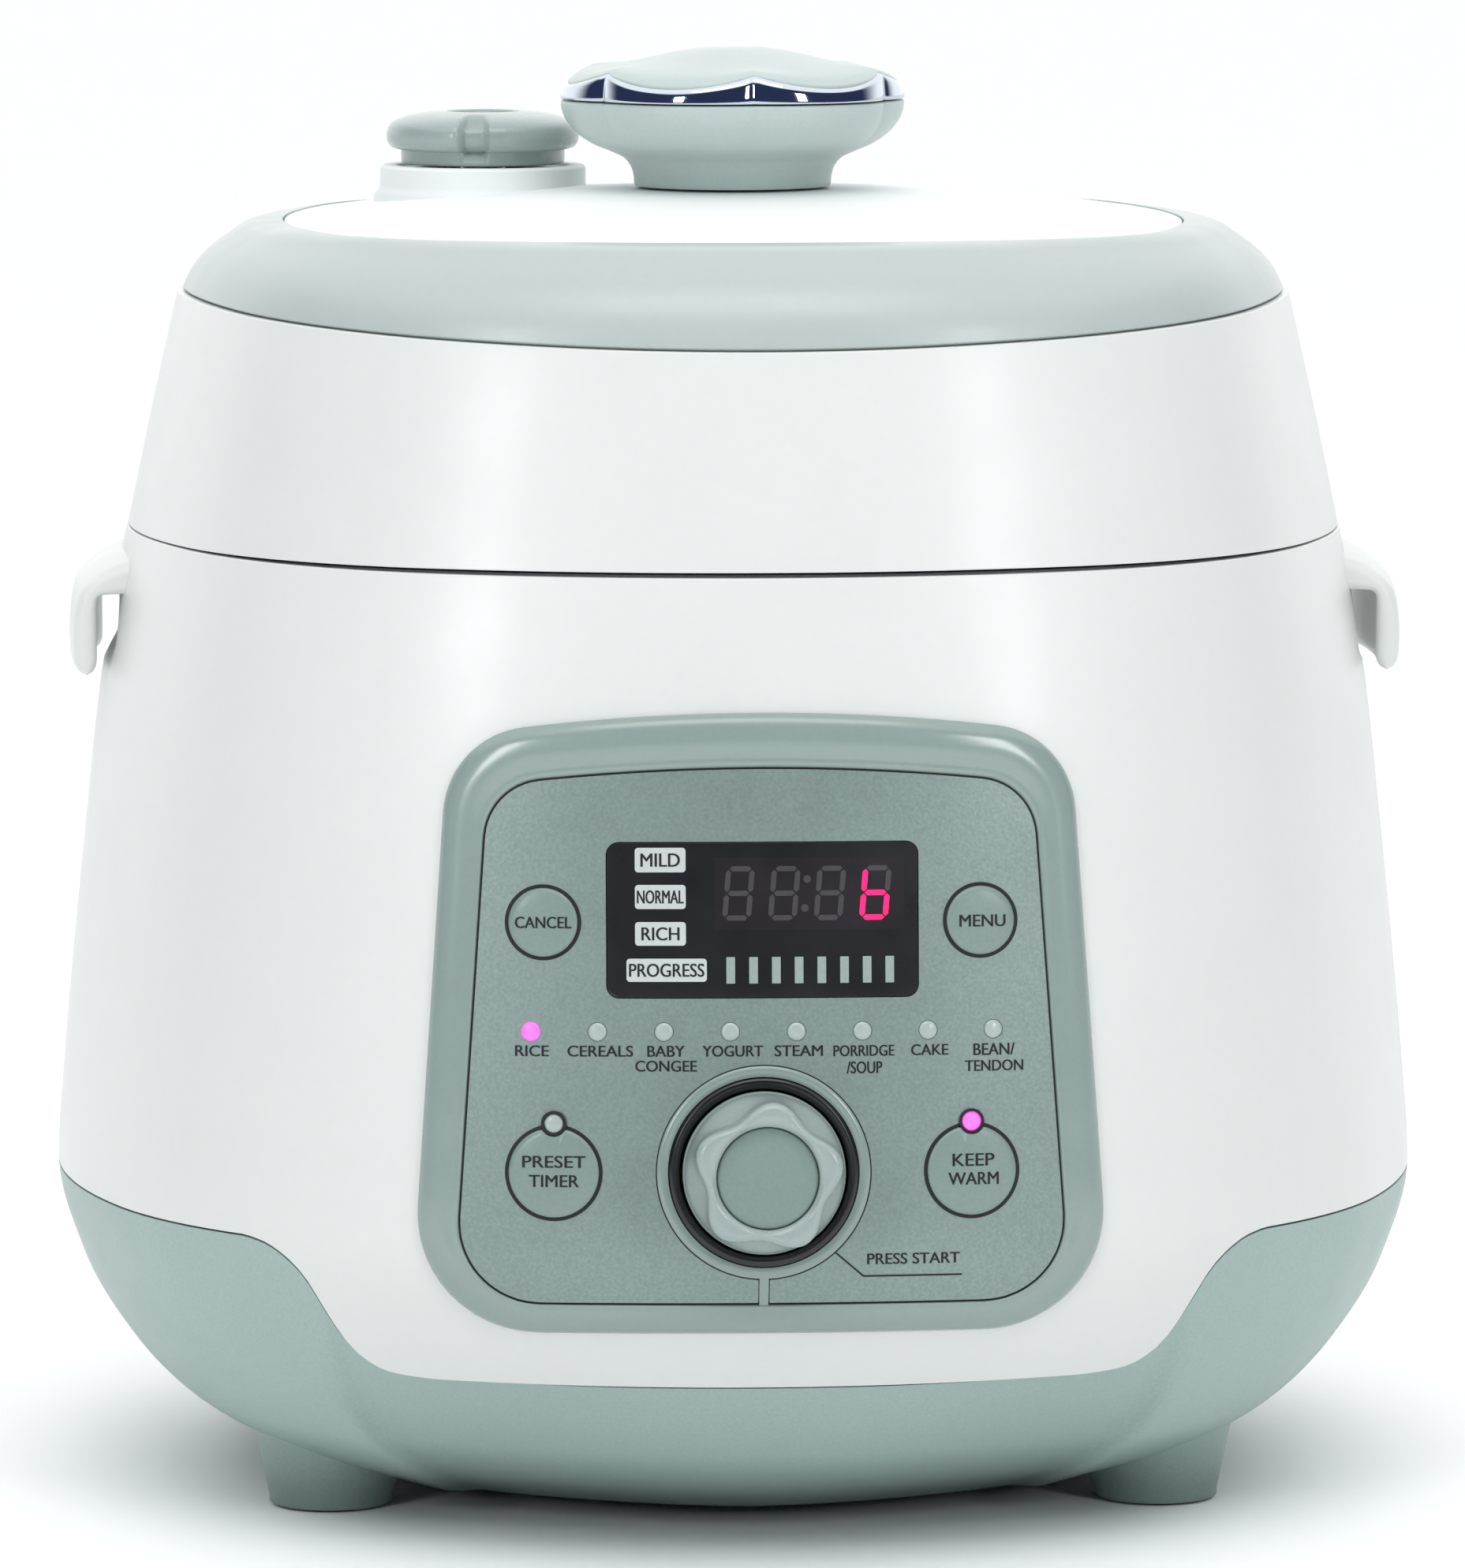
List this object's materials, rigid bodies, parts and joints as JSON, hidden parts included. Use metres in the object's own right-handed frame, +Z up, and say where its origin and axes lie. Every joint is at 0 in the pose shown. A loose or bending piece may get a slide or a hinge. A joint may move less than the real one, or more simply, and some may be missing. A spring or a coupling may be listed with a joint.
{
  "type": "rice cooker",
  "caption": "Electric pressure rice cooker: rounded-square white body on a grey base, flip-up lid with a turning lock knob and steam valve, tilted control panel with dial and keys.",
  "frame": {"origin": "on the table under the middle of the cooker's overall box", "axes": "+Z up, the control panel faces -Y, +X is to the right of someone facing the panel"},
  "size_m": [0.3, 0.3412, 0.3137],
  "materials": {
    "white_gloss": "gloss",
    "base_grey": "satin",
    "trim_grey": "gloss",
    "knob_grey": "satin",
    "chrome_band": "mirror",
    "foot_rubber": "matte",
    "bezel_grey": "gloss",
    "panel_silver": "fine metallic grain",
    "key_silver": "satin",
    "black_gloss": "gloss",
    "lens_clear": "translucent",
    "board_green": "satin",
    "black_plastic": "satin",
    "deck_grey": "satin",
    "steel": "brushed",
    "plate_aluminium": "cast",
    "pot_coating": "non-stick coated",
    "seal_silicone": "matte",
    "contact_brass": "polished"
  },
  "bodies": {
    "cooker_body": {"base_shell": "base_grey", "foot_pads": "foot_rubber", "base_screws": "steel", "vessel_posts": "steel", "body_shell": "white_gloss", "body_rim": "deck_grey", "left_handle": "white_gloss", "right_handle": "white_gloss", "panel_bezel": "bezel_grey", "panel_face": "panel_silver", "display_window": "black_gloss", "display_module": "black_plastic", "control_board": "board_green", "key_switches": "black_plastic", "dial_ring": "black_gloss", "dial_encoder": "black_plastic", "function_lenses": "lens_clear", "status_lenses": "lens_clear", "pressure_vessel": "steel", "heating_plate": "plate_aluminium", "inner_pot": "pot_coating", "pressure_switch": "black_plastic", "supply_board": "board_green", "power_inlet": "black_plastic", "inlet_pins": "contact_brass", "hinge_bracket": "base_grey", "hinge_pin": "steel", "sensor_spring": "steel"},
    "lid": {"lid_skirt": "white_gloss", "lid_trim_ring": "trim_grey", "lid_top_cover": "white_gloss", "lid_liner": "deck_grey", "inner_lid": "steel", "seal_ring": "seal_silicone", "lid_posts": "steel", "vent_pipe": "steel", "lid_hinge_arm": "white_gloss"},
    "lock": {"knob_grip": "knob_grey", "knob_chrome_ring": "chrome_band", "knob_cap": "knob_grey", "lock_shaft": "steel", "lock_ring": "steel"},
    "valve": {"valve_cap": "knob_grey"},
    "float": {"float_pin": "steel"},
    "sensor": {"sensor_plunger": "plate_aluminium"},
    "dial_push": {"encoder_push_plate": "black_plastic"},
    "dial": {"dial_knob": "knob_grey", "dial_cap": "knob_grey", "dial_shaft": "steel"},
    "cancel": {"cancel_button": "key_silver"},
    "menu": {"menu_button": "key_silver"},
    "timer": {"timer_button": "key_silver"},
    "warm": {"warm_button": "key_silver"}
  },
  "joints": [
    {"name": "lid_hinge", "type": "hinge", "parent": "cooker_body", "child": "lid", "pos_m": [0, 0.1616, 0.2124], "axis": [-1, 0, 0], "range_deg": [0, 80]},
    {"name": "lock_turn", "type": "hinge", "parent": "lid", "child": "lock", "pos_m": [0, 0, 0.2], "axis": [0, 0, -1], "range_deg": [0, 30]},
    {"name": "valve_lift", "type": "slide", "parent": "lid", "child": "valve", "axis": [0, 0, 1], "range_m": [0, 0.02]},
    {"name": "float_lift", "type": "slide", "parent": "lid", "child": "float", "axis": [0, 0, 1], "range_m": [0, 0.004]},
    {"name": "sensor_press", "type": "slide", "parent": "cooker_body", "child": "sensor", "axis": [0, 0, -1], "range_m": [0, 0.003], "stiffness_N_per_m": 800, "springref_m": -0.0008, "deforming": ["sensor_spring"]},
    {"name": "dial_press", "type": "slide", "parent": "cooker_body", "child": "dial_push", "axis": [0, 0.9963, -0.0854], "range_m": [0, 0.0008], "stiffness_N_per_m": 1500},
    {"name": "dial_turn", "type": "hinge", "parent": "dial_push", "child": "dial", "pos_m": [0, -0.149, 0.0862], "axis": [0, -0.9963, 0.0854], "continuous": true},
    {"name": "cancel_press", "type": "slide", "parent": "cooker_body", "child": "cancel", "axis": [0, 0.9963, -0.0854], "range_m": [0, 0.0005], "stiffness_N_per_m": 800},
    {"name": "menu_press", "type": "slide", "parent": "cooker_body", "child": "menu", "axis": [0, 0.9963, -0.0854], "range_m": [0, 0.0005], "stiffness_N_per_m": 800},
    {"name": "timer_press", "type": "slide", "parent": "cooker_body", "child": "timer", "axis": [0, 0.9963, -0.0854], "range_m": [0, 0.0005], "stiffness_N_per_m": 800},
    {"name": "warm_press", "type": "slide", "parent": "cooker_body", "child": "warm", "axis": [0, 0.9963, -0.0854], "range_m": [0, 0.0005], "stiffness_N_per_m": 800}
  ]
}
